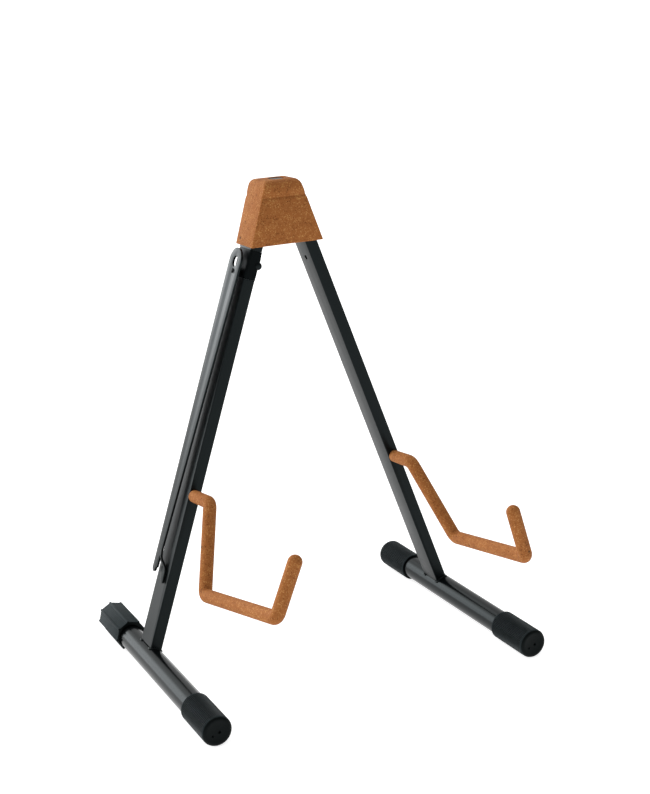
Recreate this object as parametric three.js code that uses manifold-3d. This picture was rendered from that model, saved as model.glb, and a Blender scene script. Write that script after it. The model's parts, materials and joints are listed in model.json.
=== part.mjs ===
// A folding A-frame stand for an acoustic guitar.
// Two rectangular-tube legs meet in a cork-covered head. Each leg stands on a round foot tube
// that runs front to back, and carries a bent steel arm in a cork sleeve for the guitar's body.
// The left leg folds about a pin just below the head.
//
// Millimetres, +Z up, the front faces -Y. Inside the "stand" group, x = 0 is the middle of the
// A-frame, y = 0 the middle of the foot tubes and z = 0 the floor.

import * as THREE from 'three';
import { mergeVertices } from 'three/addons/utils/BufferGeometryUtils.js';
import Module from 'manifold-3d';

const wasm = await Module();
wasm.setup();

// ---- Driving dimensions -------------------------------------------------------------------

const GAP = 0.3;                 // clearance between touching pieces
const RIGHT = 1;
const LEFT = -1;

// Feet
const FOOT_SPREAD = 172.5;       // foot tube axis from the middle of the A-frame
const FOOT_LENGTH = 300;         // over the end caps
const FOOT_R = 12.5;
const FOOT_WALL = 1.3;
const CAP_R = 15;
const CAP_LENGTH = 56;
const CAP_END = 4;               // thickness of a cap's end wall
const CAP_EDGE = 2.4;            // rounding of a cap's end
const CAP_SIDES = 28;
const AXIS_Z = CAP_R * Math.cos(Math.PI / CAP_SIDES);    // a cap rests on one of its facets

// Levelling cap: an eight-pointed cap set off its bore, so that turning it lifts the corner
const STAR_POINTS = 8;
const STAR_R = 16.9;             // out to a ridge
const STAR_LENGTH = 60.5;
const STAR_HOLLOW = 0.5;         // depth of the hollow between two ridges
const STAR_RIDGE = 1.6;          // width of a ridge
const STAR_TURN = THREE.MathUtils.degToRad(8);
const STAR_REACH = STAR_R * Math.cos(STAR_TURN - Math.asin(STAR_RIDGE / 2 / STAR_R));
const STAR_OFFSET = STAR_REACH - AXIS_Z;         // puts its lowest ridge on the floor

// Legs
const LEAN = THREE.MathUtils.degToRad(19.33);
const LEG_X = 12.4;              // tube section across the leg
const LEG_Y = 28.8;              // tube section front to back
const LEG_WALL = 1.2;
const LEG_EDGE = 1.4;
const LEG_BACK_SET = 38.5;       // leg centre behind the middle of the foot
const LEFT_LEG_TOP = 398;
const RIGHT_LEG_TOP = 474;
const LEFT_LEG_INSET = 1;         // the left leg's centre line passes inboard of its foot's axis
const LEG_HOLE_R = 2.6;          // drilled in the right leg's inner side, level with the pin
const LEG_FRONT = LEG_BACK_SET - LEG_Y / 2;
const LEG_REAR = LEG_BACK_SET + LEG_Y / 2;

// Fold hinge, in the left leg's frame: height up the leg and distance inboard of its centre
const PIN_UP = 413;
const PIN_IN = 6;
const PIN_R = 2;
const PIN_HEAD_R = 3;
const PIN_HEAD = 0.9;
const BARREL_R = 3.8;
const KNUCKLE_TOP = 427;
const KNUCKLE_PLUG = 36;         // length of the plug inside the tube
const KNUCKLE_EDGE = 2.6;
const TONGUE_FRONT = LEG_FRONT + 7.2;
const TONGUE_REAR = LEG_FRONT + 14;
const TONGUE_OUT = 1.3;          // bracket tongue, outboard face from the leg's centre
const TONGUE_TOP = 436;
const STUB_TOP = 470;            // the bracket's tube inside the head

// Head
const HEAD_BOTTOM = 422.4;
const HEAD_TOP = 485.5;
const HEAD_HALF = 39.3;          // half width at the bottom; its sides lean with the legs
const HEAD_SHIFT = 1;            // middle of the head from the middle of the feet
const HEAD_FRONT = 16.5;
const HEAD_REAR = 57;
const HEAD_EDGE = 6;
const CORK = 2.4;
const CORE_RISE = 1.2;           // the core stops this far above the cork's lower edge
const BADGE_R = 7.8;
const BADGE_DEPTH = 5;
const BADGE_SUNK = 0.6;
const RIVET_R = 2;
const RIVET_HEAD_R = 4;
const RIVET_HEAD = 0.8;
const RIVETS_UP = [443, 460];    // up both legs

// Locking bar, beside the left leg's outer face
const BAR_STANDOFF = 4.6;
const BAR_T = 2.2;
const BAR_EAR_R = 13.8;
const BAR_EAR_UP = 412;
const BAR_EAR_Y = 40;
const BAR_HOLE_R = 5.6;
const BAR_PIVOT_UP = 402.6;
const BAR_PIVOT_Y = 39.6;
const BAR_PIVOT_R = 2;
const BAR_RIVET_R = 2.9;         // its head
const BAR_SPACER_R = 4.5;
const BAR_TAPER = 0.0534;        // how fast the front edge runs back towards the tip
const BAR_NECK = 104;            // where the claw leaves the front edge
// The hook at the bar's lower end, from its notch round to the back edge, as [y, up]
const BAR_HOOK = [[43.6, 103], [43.6, 91.5], [46.4, 90.4], [47.4, 86.6], [49.4, 85.3], [52, 85.9], [53.8, 88.6]];
// The claw beside it, seen from the side, as [y, up]
const BAR_CLAW = [
  [46.6, 110], [42, 110], [40.3, 104], [34.6, 97.6], [31.4, 92], [30.6, 86], [30.2, 79.4], [32.6, 78.4],
  [37.6, 82], [41.2, 87], [43, 92], [43.2, 103.4], [46.6, 103.4],
];
const BAR_CLAW_BENDS = [104, 93];      // it bends in towards the leg, and back along it

// Arms, as a bent rod: each run's length, and the turn after it (positive bends upward)
const ARM_UP = 174.6;            // where the arm leaves the leg's front face
const ARM_RISE = 6.3;
const ARM_RUNS = [
  { length: 40.2, turn: -70.2 },
  { length: 90.4, turn: 75.9 },
  { length: 149.8, turn: 71.4 },
  { length: 54, turn: 0 },
];
const ARM_BEND_R = 8;
const ROD_R = 3.5;
const SLEEVE_R = 6.7;
const SCREW_R = 2;
const SCREW_DEPTH = 14;
const SCREW_HEAD_R = 4.5;
const SCREW_HEAD = 3;
const WASHER_R = 5.6;
const WASHER_T = 1;

// ---- Materials ----------------------------------------------------------------------------

const finish = (color, roughness, metalness) => () =>
  new THREE.MeshStandardMaterial({ color, roughness, metalness });
const blackPaint = finish(0x1b1e1f, 0.45, 0.3);
const zincSteel = finish(0x8a8d90, 0.35, 0.9);
const blackPlastic = finish(0x101213, 0.6, 0);
const capRubber = finish(0x25292a, 0.8, 0);
const greyPlastic = finish(0x4c5156, 0.5, 0);
const cork = finish(0xa9713f, 0.9, 0);

// ---- Solids -------------------------------------------------------------------------------

function toSolid(geometry) {
  const bare = geometry.clone();
  bare.deleteAttribute('normal');
  bare.deleteAttribute('uv');
  const merged = mergeVertices(bare, 1e-4);
  return new wasm.Manifold(new wasm.Mesh({
    numProp: 3,
    vertProperties: new Float32Array(merged.attributes.position.array),
    triVerts: new Uint32Array(merged.index.array),
  }));
}

function toGeometry(solid) {
  const mesh = solid.getMesh();
  const geometry = new THREE.BufferGeometry();
  geometry.setAttribute('position', new THREE.BufferAttribute(mesh.vertProperties, 3));
  geometry.setIndex(new THREE.BufferAttribute(mesh.triVerts, 1));
  return geometry;
}

function cut(body, ...tools) {
  return toGeometry(tools.reduce((left, tool) => left.subtract(toSolid(tool)), toSolid(body)));
}

function common(body, tool) {
  return toGeometry(toSolid(body).intersect(toSolid(tool)));
}

function join(body, ...more) {
  return toGeometry(more.reduce((sum, one) => sum.add(toSolid(one)), toSolid(body)));
}

// A box between two corners.
function box(low, high) {
  const size = high.map((value, k) => value - low[k]);
  const middle = high.map((value, k) => (value + low[k]) / 2);
  return new THREE.BoxGeometry(...size).translate(...middle);
}

// A cylinder along Y.
function roundY(radius, front, rear, x = 0, z = 0, sides = 16) {
  return new THREE.CylinderGeometry(radius, radius, rear - front, sides)
    .translate(x, (front + rear) / 2, z);
}

// A cylinder along X.
function roundX(radius, low, high, y, z, sides = 16) {
  return new THREE.CylinderGeometry(radius, radius, high - low, sides)
    .rotateZ(-Math.PI / 2).translate((low + high) / 2, y, z);
}

// An X-Z outline extruded along Y.
function prismY(shape, front, rear, curveSegments = 4) {
  const options = { depth: rear - front, bevelEnabled: false, curveSegments };
  return new THREE.ExtrudeGeometry(shape, options).rotateX(Math.PI / 2).translate(0, rear, 0);
}

// A Y-Z outline extruded along X.
function prismX(shape, low, high, curveSegments = 10) {
  const options = { depth: high - low, bevelEnabled: false, curveSegments };
  const turn = new THREE.Matrix4().makeBasis(
    new THREE.Vector3(0, 1, 0), new THREE.Vector3(0, 0, 1), new THREE.Vector3(1, 0, 0));
  return new THREE.ExtrudeGeometry(shape, options).applyMatrix4(turn).translate(low, 0, 0);
}

// A round-cornered bar up +Z from `low`, centred on (0, y).
function prismZ(width, depth, edge, y, low, height, curveSegments) {
  const options = { depth: height, bevelEnabled: false, curveSegments };
  return new THREE.ExtrudeGeometry(roundedRect(width, depth, edge, y), options).translate(0, 0, low);
}

// A rectangle with round corners, centred on (0, y).
function roundedRect(width, height, radius, y = 0, Kind = THREE.Shape) {
  const [w, h] = [width / 2 - radius, height / 2 - radius];
  const outline = new Kind();
  outline.absarc(w, y - h, radius, -Math.PI / 2, 0);
  outline.absarc(w, y + h, radius, 0, Math.PI / 2);
  outline.absarc(-w, y + h, radius, Math.PI / 2, Math.PI);
  outline.absarc(-w, y - h, radius, Math.PI, Math.PI * 1.5);
  outline.closePath();
  return outline;
}

// A fastener or pin turned about Y from [radius, y] steps.
function turned(profile, sides = 16) {
  const points = profile.map(([r, y]) => new THREE.Vector2(r, y));
  return new THREE.LatheGeometry(points, sides);
}

// ---- Feet ---------------------------------------------------------------------------------

function footTube() {
  const end = FOOT_LENGTH / 2 - CAP_END - GAP;
  return turned([
    [FOOT_R - FOOT_WALL, -end], [FOOT_R, -end], [FOOT_R, end], [FOOT_R - FOOT_WALL, end],
    [FOOT_R - FOOT_WALL, -end],
  ], CAP_SIDES);
}

// A round end cap, its closed end towards -Y.
function endCap() {
  const end = -FOOT_LENGTH / 2;
  const rim = end + CAP_LENGTH;
  const bore = FOOT_R + GAP;
  const edge = (k) => {
    const a = k * Math.PI / 8;
    return [CAP_R - CAP_EDGE + CAP_EDGE * Math.sin(a), end + CAP_EDGE - CAP_EDGE * Math.cos(a)];
  };
  const cap = turned([
    [0, end], ...[0, 1, 2, 3, 4].map(edge), [CAP_R, rim - 0.8], [CAP_R - 0.8, rim], [bore, rim],
    [bore, end + CAP_END], [0, end + CAP_END],
  ], CAP_SIDES);
  return cap.rotateY(Math.PI / CAP_SIDES);
}

// The outline of the levelling cap in X-Z, about the foot tube's axis.
function starOutline() {
  const shape = new THREE.Shape();
  const centre = new THREE.Vector2(0, STAR_OFFSET);
  const step = 2 * Math.PI / STAR_POINTS;
  const half = Math.asin(STAR_RIDGE / 2 / STAR_R);
  const at = (radius, angle) => new THREE.Vector2(radius, 0).rotateAround(new THREE.Vector2(), angle)
    .add(centre);
  for (let k = 0; k < STAR_POINTS; k += 1) {
    const ridge = STAR_TURN + k * step;
    const first = at(STAR_R, ridge - half);
    const second = at(STAR_R, ridge + half);
    const hollow = at(STAR_R * Math.cos(step / 2) - 2 * STAR_HOLLOW, ridge + step / 2);
    const next = at(STAR_R, ridge + step - half);
    if (k === 0) shape.moveTo(first.x, first.y);
    shape.lineTo(second.x, second.y);
    shape.quadraticCurveTo(hollow.x, hollow.y, next.x, next.y);
  }
  return shape;
}

function levellingCap() {
  const end = FOOT_LENGTH / 2;
  const rim = end - STAR_LENGTH;
  const bore = roundY(FOOT_R + GAP, rim - 1, end - CAP_END, 0, 0, CAP_SIDES);
  return cut(prismY(starOutline(), rim, end), bore);
}

// ---- Legs ---------------------------------------------------------------------------------

const legInset = (side) => (side === LEFT ? LEFT_LEG_INSET : 0);

// The legs' rectangular tube, up the leg's own +Z.
function rectangularTube(low, high) {
  const shape = roundedRect(LEG_X, LEG_Y, LEG_EDGE, LEG_BACK_SET);
  const inner = LEG_EDGE - LEG_WALL;
  shape.holes.push(
    roundedRect(LEG_X - 2 * LEG_WALL, LEG_Y - 2 * LEG_WALL, inner, LEG_BACK_SET, THREE.Path));
  const options = { depth: high - low, bevelEnabled: false, curveSegments: 2 };
  return new THREE.ExtrudeGeometry(shape, options).translate(0, 0, low);
}

// A leg, coped over its foot tube and opened for its arm.
function leg(side, top) {
  const aside = side * legInset(side);
  const cope = roundY(FOOT_R + GAP, LEG_FRONT - 5, LEG_REAR + 5,
    aside * Math.cos(LEAN), -legInset(side) * Math.sin(LEAN), CAP_SIDES);
  return cut(rectangularTube(0, top), cope, ...armHoles(side));
}

function rightLeg() {
  const drilled = roundX(LEG_HOLE_R, -LEG_X, 0, LEG_BACK_SET, PIN_UP);
  return cut(leg(RIGHT, RIGHT_LEG_TOP), drilled, ...rivetHoles());
}

// ---- Arms ---------------------------------------------------------------------------------

// The rod's centre line: straight runs, with an arc at each bend. It is stepped by its own
// stations and not by length, so that the bends get short steps and the runs get long ones.
class BentRod extends THREE.Curve {
  constructor(stations) {
    super();
    this.stations = stations;
  }

  getUtoTmapping(u) {
    return u;
  }

  getPoint(t, target = new THREE.Vector3()) {
    const place = t * (this.stations.length - 1);
    const k = Math.min(Math.max(Math.floor(place), 0), this.stations.length - 2);
    return target.lerpVectors(this.stations[k], this.stations[k + 1], place - k);
  }
}

// Stations in the arm's frame, whose -Y is the first run's direction.
function armStations(start, steps = 4) {
  const stations = [new THREE.Vector3(0, start, 0)];
  const corner = new THREE.Vector3();
  let heading = 0;
  for (const run of ARM_RUNS) {
    const along = new THREE.Vector3(0, -Math.cos(heading), Math.sin(heading));
    corner.addScaledVector(along, run.length);
    if (run.turn === 0) {
      stations.push(corner.clone());
      break;
    }
    const turn = THREE.MathUtils.degToRad(run.turn);
    const setback = ARM_BEND_R * Math.tan(Math.abs(turn) / 2);
    const radius = ARM_BEND_R * Math.sign(turn);
    const spokeAt = (angle) => new THREE.Vector3(0, Math.sin(angle), Math.cos(angle));
    const centre = corner.clone().addScaledVector(along, -setback)
      .addScaledVector(spokeAt(heading), radius);
    for (let k = 0; k <= steps; k += 1) {
      stations.push(centre.clone().addScaledVector(spokeAt(heading + turn * k / steps), -radius));
    }
    heading += turn;
  }
  return stations;
}

function sweep(radius, stations, sides) {
  const section = new THREE.Shape().absarc(0, 0, radius, 0, 2 * Math.PI);
  return new THREE.ExtrudeGeometry(section, {
    extrudePath: new BentRod(stations),
    steps: stations.length - 1,
    curveSegments: sides / 2,
    bevelEnabled: false,
  });
}

// In the arm's frame the leg's front face is at y = 0 and its rear face at ROOT_DEPTH.
const RISE = THREE.MathUtils.degToRad(ARM_RISE);
const ROOT_DEPTH = LEG_Y / Math.cos(RISE);
const ROD_START = ROOT_DEPTH - LEG_WALL - 1.5;

function armRod() {
  const rod = sweep(ROD_R, armStations(ROD_START), 10);
  return cut(rod, roundY(SCREW_R + GAP, ROD_START - SCREW_DEPTH, ROD_START + 1, 0, 0, 12));
}

function armSleeve() {
  const root = -SLEEVE_R * Math.tan(RISE) - GAP;
  const path = armStations(root);
  const tip = path[path.length - 1];
  const dome = new THREE.SphereGeometry(SLEEVE_R, 14, 7).translate(tip.x, tip.y, tip.z);
  const outer = join(sweep(SLEEVE_R, path, 14), dome);
  const bore = sweep(ROD_R + GAP, armStations(1), 10);
  const blindEnd = new THREE.SphereGeometry(ROD_R + 2 * GAP, 10, 6).translate(tip.x, tip.y, tip.z);
  return cut(outer, bore, blindEnd);
}

// Screw and washer behind the leg, on the first run's axis.
function armScrew() {
  const seat = ROOT_DEPTH + WASHER_T + 3 * GAP;
  return turned([
    [0, ROD_START - SCREW_DEPTH + 2], [SCREW_R, ROD_START - SCREW_DEPTH + 2], [SCREW_R, seat],
    [SCREW_HEAD_R, seat], [SCREW_HEAD_R, seat + SCREW_HEAD - 0.8],
    [SCREW_HEAD_R - 0.8, seat + SCREW_HEAD], [0, seat + SCREW_HEAD],
  ], 12);
}

function armWasher() {
  const low = ROOT_DEPTH + 2 * GAP;
  return turned([
    [SCREW_R + GAP, low], [WASHER_R, low], [WASHER_R, low + WASHER_T],
    [SCREW_R + GAP, low + WASHER_T], [SCREW_R + GAP, low],
  ]);
}

// Where the arm's frame stands in the leg's frame: over the foot tube's axis.
function placeArm(object, side) {
  object.position.set(side * legInset(side) * Math.cos(LEAN), LEG_FRONT, ARM_UP);
  object.rotation.x = -RISE;
  return object;
}

// Tools that open a leg for its arm: the rod through the front wall, the screw through the rear.
function armHoles(side) {
  const frame = placeArm(new THREE.Object3D(), side);
  frame.updateMatrix();
  return [
    roundY(ROD_R + GAP, -4, ROD_START + 1).applyMatrix4(frame.matrix),
    roundY(SCREW_R + GAP, 0, ROOT_DEPTH + 4, 0, 0, 12).applyMatrix4(frame.matrix),
  ];
}

function arm(name, side) {
  const group = placeArm(new THREE.Group(), side);
  group.add(
    piece(`${name}_arm_rod`, armRod(), zincSteel),
    piece(`${name}_arm_cork`, armSleeve(), cork),
    piece(`${name}_arm_screw`, armScrew(), zincSteel),
    piece(`${name}_arm_washer`, armWasher(), zincSteel),
  );
  return group;
}

// ---- Fold hinge, in the left leg's frame, whose outboard side is -X ----------------------------

const OUT = LEFT;
const PIN_X = -OUT * PIN_IN;
const KNUCKLE_HALF = LEG_X / 2;

// The knuckle from the front: square on top, with a gusset down to its barrels.
function knuckleOutline(start) {
  const shape = new THREE.Shape();
  shape.moveTo(OUT * KNUCKLE_HALF, start);
  shape.lineTo(KNUCKLE_HALF, start);
  shape.lineTo(KNUCKLE_HALF, PIN_UP - BARREL_R);
  shape.lineTo(PIN_X + 1, PIN_UP + BARREL_R - 0.2);
  shape.lineTo(KNUCKLE_HALF, KNUCKLE_TOP);
  shape.lineTo(OUT * KNUCKLE_HALF, KNUCKLE_TOP);
  shape.closePath();
  return shape;
}

// Black moulding on top of the left leg: plug, body, two cheeks and their barrels.
function knuckle() {
  const start = LEFT_LEG_TOP + GAP;
  const wide = LEG_X + 8;
  const rounded = prismZ(wide, LEG_Y, KNUCKLE_EDGE, LEG_BACK_SET, start - 1, KNUCKLE_TOP - start + 2, 3)
    .translate(OUT * (KNUCKLE_HALF - wide / 2), 0, 0);
  const body = common(prismY(knuckleOutline(start), LEG_FRONT, LEG_REAR), rounded);
  const inset = 2 * (LEG_WALL + GAP);
  const plug = prismZ(
    LEG_X - inset, LEG_Y - inset, 0.7, LEG_BACK_SET, start - KNUCKLE_PLUG, KNUCKLE_PLUG + 1, 1);
  const barrel = roundY(BARREL_R, LEG_FRONT, LEG_REAR, PIN_X, PIN_UP);
  const slotOut = OUT * (TONGUE_OUT + 2 * GAP);
  const slot = box([slotOut, TONGUE_FRONT - GAP, PIN_UP - BARREL_R - 2 * GAP],
    [PIN_X + 2 * BARREL_R, TONGUE_REAR + GAP, KNUCKLE_TOP + 5]);
  const pinHole = roundY(PIN_R + GAP, LEG_FRONT - 5, LEG_REAR + 5, PIN_X, PIN_UP);
  const rivetHole = roundX(BAR_PIVOT_R + GAP, -LEG_X, 3, BAR_PIVOT_Y, BAR_PIVOT_UP);
  return cut(join(body, plug, barrel), slot, pinHole, rivetHole);
}

// A stub of the legs' tube, riveted in the head and standing square on the knuckle, with a
// tongue that reaches down into the knuckle's slot and carries the pin.
function hingeBracket() {
  const tongue = box([OUT * TONGUE_OUT, TONGUE_FRONT, PIN_UP], [KNUCKLE_HALF - 0.1, TONGUE_REAR, TONGUE_TOP]);
  const barrel = roundY(BARREL_R, TONGUE_FRONT, TONGUE_REAR, PIN_X, PIN_UP);
  const pinHole = roundY(PIN_R + GAP, TONGUE_FRONT - 5, TONGUE_REAR + 5, PIN_X, PIN_UP);
  const stub = rectangularTube(KNUCKLE_TOP + GAP, STUB_TOP);
  return cut(join(stub, tongue, barrel), pinHole, ...rivetHoles());
}

function foldPin() {
  const front = LEG_FRONT - GAP;
  const rear = LEG_REAR + GAP;
  return turned([
    [0, front - PIN_HEAD], [PIN_HEAD_R - 0.6, front - PIN_HEAD], [PIN_HEAD_R, front - 0.3],
    [PIN_HEAD_R, front], [PIN_R, front], [PIN_R, rear], [PIN_HEAD_R, rear], [PIN_HEAD_R, rear + 0.3],
    [PIN_HEAD_R - 0.6, rear + PIN_HEAD], [0, rear + PIN_HEAD],
  ]).translate(PIN_X, 0, PIN_UP);
}

// ---- Locking bar, in the left leg's frame -------------------------------------------------

const BAR_INNER = LEG_X / 2 + BAR_STANDOFF;      // distance of its two faces from the leg's centre
const BAR_OUTER = BAR_INNER + BAR_T;
const BAR_BACK = BAR_EAR_Y + BAR_EAR_R;

const barFrontAt = (up) => BAR_EAR_Y - 13.2 + BAR_TAPER * (400 - up);

function lockingBar() {
  const shape = new THREE.Shape();
  shape.moveTo(BAR_BACK, BAR_EAR_UP);
  shape.absarc(BAR_EAR_Y, BAR_EAR_UP, BAR_EAR_R, 0, Math.PI * 1.1);
  shape.lineTo(barFrontAt(396), 396);
  shape.lineTo(barFrontAt(BAR_NECK), BAR_NECK);
  BAR_HOOK.forEach(([y, up]) => shape.lineTo(y, up));
  shape.closePath();
  shape.holes.push(new THREE.Path().absarc(BAR_EAR_Y - 0.8, BAR_EAR_UP, BAR_HOLE_R, 0, 2 * Math.PI));
  const plate = prismX(shape, -BAR_OUTER, -BAR_INNER);
  const pivotHole = roundX(BAR_PIVOT_R + GAP, -BAR_OUTER - 5, 0, BAR_PIVOT_Y, BAR_PIVOT_UP);
  return cut(join(plate, barClaw()), pivotHole);
}

// The claw, cut from the bar's own sheet and bent in to lie along the leg's outer face.
function barClaw() {
  const near = -LEG_X / 2 - 2 * GAP;
  const [bendUp, bendDown] = BAR_CLAW_BENDS;
  const section = new THREE.Shape();
  section.moveTo(-BAR_OUTER, 115);
  section.lineTo(-BAR_OUTER, bendUp);
  section.lineTo(near - BAR_T, bendDown);
  section.lineTo(near - BAR_T, 70);
  section.lineTo(near, 70);
  section.lineTo(near, bendDown + 0.4);
  section.lineTo(-BAR_INNER, bendUp + 0.4);
  section.lineTo(-BAR_INNER, 115);
  section.closePath();
  const side = new THREE.Shape(BAR_CLAW.map(([y, up]) => new THREE.Vector2(y, up)));
  return common(prismY(section, 20, 60), prismX(side, -BAR_OUTER - 1, 0));
}

function barSpacer() {
  const low = LEG_X / 2 + GAP;
  const high = BAR_INNER - GAP;
  return turned([
    [BAR_PIVOT_R + GAP, low], [BAR_SPACER_R, low], [BAR_SPACER_R, high], [BAR_PIVOT_R + GAP, high],
    [BAR_PIVOT_R + GAP, low],
  ]).rotateZ(Math.PI / 2).translate(0, BAR_PIVOT_Y, BAR_PIVOT_UP);
}

function barRivet() {
  const seat = BAR_OUTER + GAP;
  return turned([
    [0, -2], [BAR_PIVOT_R, -2], [BAR_PIVOT_R, seat], [BAR_RIVET_R, seat],
    [BAR_RIVET_R, seat + 0.5], [BAR_RIVET_R - 1, seat + 1.2], [0, seat + 1.2],
  ]).rotateZ(Math.PI / 2).translate(0, BAR_PIVOT_Y, BAR_PIVOT_UP);
}

// ---- Head ---------------------------------------------------------------------------------

// The head's front outline, drawn in by `inset` all round and ending at `bottom` and `top`.
function headOutline(inset, bottom, top, edge) {
  const slope = Math.tan(LEAN);
  const halfAt = (z) => HEAD_HALF - inset / Math.cos(LEAN) - (z - HEAD_BOTTOM) * slope;
  const shape = new THREE.Shape();
  const reach = edge * Math.tan((Math.PI / 2 - LEAN) / 2);
  const side = new THREE.Vector2(Math.sin(LEAN), -Math.cos(LEAN)).multiplyScalar(reach);
  shape.moveTo(HEAD_SHIFT - halfAt(bottom), bottom);
  shape.lineTo(HEAD_SHIFT + halfAt(bottom), bottom);
  shape.lineTo(HEAD_SHIFT + halfAt(top) + side.x, top + side.y);
  shape.absarc(HEAD_SHIFT + halfAt(top) - reach, top - edge, edge, LEAN, Math.PI / 2);
  shape.absarc(HEAD_SHIFT - halfAt(top) + reach, top - edge, edge, Math.PI / 2, Math.PI - LEAN);
  shape.closePath();
  return shape;
}

const HEAD_Y = (HEAD_FRONT + HEAD_REAR) / 2;

// A round disc at the middle of the head, its upper face at `top`.
function headDisc(radius, top, height) {
  return new THREE.CylinderGeometry(radius, radius, height, 24)
    .rotateX(Math.PI / 2).translate(HEAD_SHIFT, HEAD_Y, top - height / 2);
}

function badgeWell() {
  const floor = HEAD_TOP - BADGE_SUNK - BADGE_DEPTH;
  return headDisc(BADGE_R + GAP, HEAD_TOP + 1, HEAD_TOP + 1 - floor);
}

function headCork() {
  const outer = prismY(headOutline(0, HEAD_BOTTOM, HEAD_TOP, HEAD_EDGE), HEAD_FRONT, HEAD_REAR);
  const inner = prismY(headOutline(CORK, HEAD_BOTTOM - 10, HEAD_TOP - CORK, HEAD_EDGE - CORK),
    HEAD_FRONT + CORK, HEAD_REAR - CORK);
  return cut(outer, inner, badgeWell());
}

function headCore() {
  const inset = CORK + GAP;
  const block = prismY(headOutline(inset, HEAD_BOTTOM + CORE_RISE, HEAD_TOP - inset, HEAD_EDGE - inset),
    HEAD_FRONT + inset, HEAD_REAR - inset);
  const pockets = { [RIGHT]: RIGHT_LEG_TOP, [LEFT]: STUB_TOP };
  const tools = [RIGHT, LEFT].flatMap((side) => {
    const pocket = box([-LEG_X / 2 - GAP, LEG_FRONT - GAP, 0],
      [LEG_X / 2 + GAP, LEG_REAR + GAP, pockets[side] + GAP]);
    const outer = box([0, LEG_FRONT - GAP, 0], [side * (LEG_X / 2 + 4), LEG_REAR + GAP, pockets[side] + GAP]);
    return [pocket, outer, ...rivetHoles(), ...rivetSinks()]
      .map((tool) => tool.applyMatrix4(legMatrix(side)));
  });
  return cut(block, badgeWell(), ...tools);
}

function headBadge() {
  return headDisc(BADGE_R, HEAD_TOP - BADGE_SUNK, BADGE_DEPTH - GAP);
}

// Rivets run front to back through the core and the tube inside it.
const RIVET_FRONT = HEAD_FRONT + CORK + 2 * GAP;
const RIVET_REAR = HEAD_REAR - CORK - 2 * GAP;

function rivetHoles() {
  return RIVETS_UP.map((up) => roundY(RIVET_R + GAP, HEAD_FRONT, HEAD_REAR, 0, up, 12));
}

function rivetSinks() {
  const front = RIVET_FRONT + RIVET_HEAD + GAP;
  const rear = RIVET_REAR - RIVET_HEAD - GAP;
  return RIVETS_UP.flatMap((up) => [
    roundY(RIVET_HEAD_R + GAP, HEAD_FRONT, front, 0, up, 12),
    roundY(RIVET_HEAD_R + GAP, rear, HEAD_REAR, 0, up, 12),
  ]);
}

function rivet(up) {
  return turned([
    [0, RIVET_FRONT], [RIVET_HEAD_R, RIVET_FRONT], [RIVET_HEAD_R, RIVET_FRONT + RIVET_HEAD],
    [RIVET_R, RIVET_FRONT + RIVET_HEAD], [RIVET_R, RIVET_REAR - RIVET_HEAD],
    [RIVET_HEAD_R, RIVET_REAR - RIVET_HEAD], [RIVET_HEAD_R, RIVET_REAR], [0, RIVET_REAR],
  ], 12).translate(0, 0, up);
}

// ---- Assembly -----------------------------------------------------------------------------

function piece(name, geometry, material) {
  const mesh = new THREE.Mesh(geometry, material());
  mesh.name = name;
  return mesh;
}

// Frame of a leg: origin level with its foot tube's axis, +Z up the leg, +X to the right.
function legFrame(side) {
  const group = new THREE.Group();
  group.position.set(side * (FOOT_SPREAD - legInset(side)), 0, AXIS_Z);
  group.rotation.y = -side * LEAN;
  return group;
}

function legMatrix(side) {
  const frame = legFrame(side);
  frame.updateMatrix();
  return frame.matrix;
}

function footFrame(side) {
  const group = new THREE.Group();
  group.position.set(side * FOOT_SPREAD, 0, AXIS_Z);
  return group;
}

function rightSide() {
  const foot = footFrame(RIGHT);
  foot.add(
    piece('right_foot_tube', footTube(), blackPaint),
    piece('right_front_cap', endCap(), capRubber),
    piece('right_rear_cap', endCap().rotateZ(Math.PI), capRubber),
  );
  const upright = legFrame(RIGHT);
  upright.add(piece('right_leg', rightLeg(), blackPaint), arm('right', RIGHT));
  RIVETS_UP.forEach((up, k) => upright.add(piece(`leg_rivet_${k + 1}`, rivet(up), zincSteel)));
  return [foot, upright];
}

function leftSide() {
  const foot = footFrame(LEFT);
  foot.add(
    piece('left_foot_tube', footTube(), blackPaint),
    piece('left_front_cap', endCap(), capRubber),
    piece('levelling_cap', levellingCap(), capRubber),
  );
  const upright = legFrame(LEFT);
  upright.add(
    piece('left_leg', leg(LEFT, LEFT_LEG_TOP), blackPaint),
    piece('hinge_knuckle', knuckle(), blackPlastic),
    piece('hinge_bracket', hingeBracket(), blackPaint),
    piece('fold_pin', foldPin(), blackPaint),
    piece('locking_bar', lockingBar(), blackPaint),
    piece('bar_spacer', barSpacer(), blackPlastic),
    piece('bar_rivet', barRivet(), blackPaint),
    arm('left', LEFT),
  );
  RIVETS_UP.forEach((up, k) => {
    upright.add(piece(`bracket_rivet_${k + 1}`, rivet(up), zincSteel));
  });
  return [foot, upright];
}

function head() {
  const group = new THREE.Group();
  group.add(
    piece('head_core', headCore(), blackPlastic),
    piece('head_cork', headCork(), cork),
    piece('head_badge', headBadge(), greyPlastic),
  );
  return group;
}

// How far an arm's tip reaches in front of the middle of the feet.
function armReach() {
  const tip = armStations(0).at(-1).applyAxisAngle(new THREE.Vector3(1, 0, 0), -RISE);
  return SLEEVE_R - LEG_FRONT - tip.y;
}

// The origin is under the middle of the whole stand's box: the arms reach further forward than
// the feet, and the levelling cap reaches further out than a round cap.
const group = new THREE.Group();
group.position.set((STAR_REACH - CAP_R) / 2, (armReach() - FOOT_LENGTH / 2) / 2, 0);
group.add(...rightSide(), ...leftSide(), head());

export default group;
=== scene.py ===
"""Finished look of a folding A-frame floor stand: cork head and arms, black powder-coated
legs and feet, ribbed rubber caps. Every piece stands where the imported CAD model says."""

import json
import math

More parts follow.
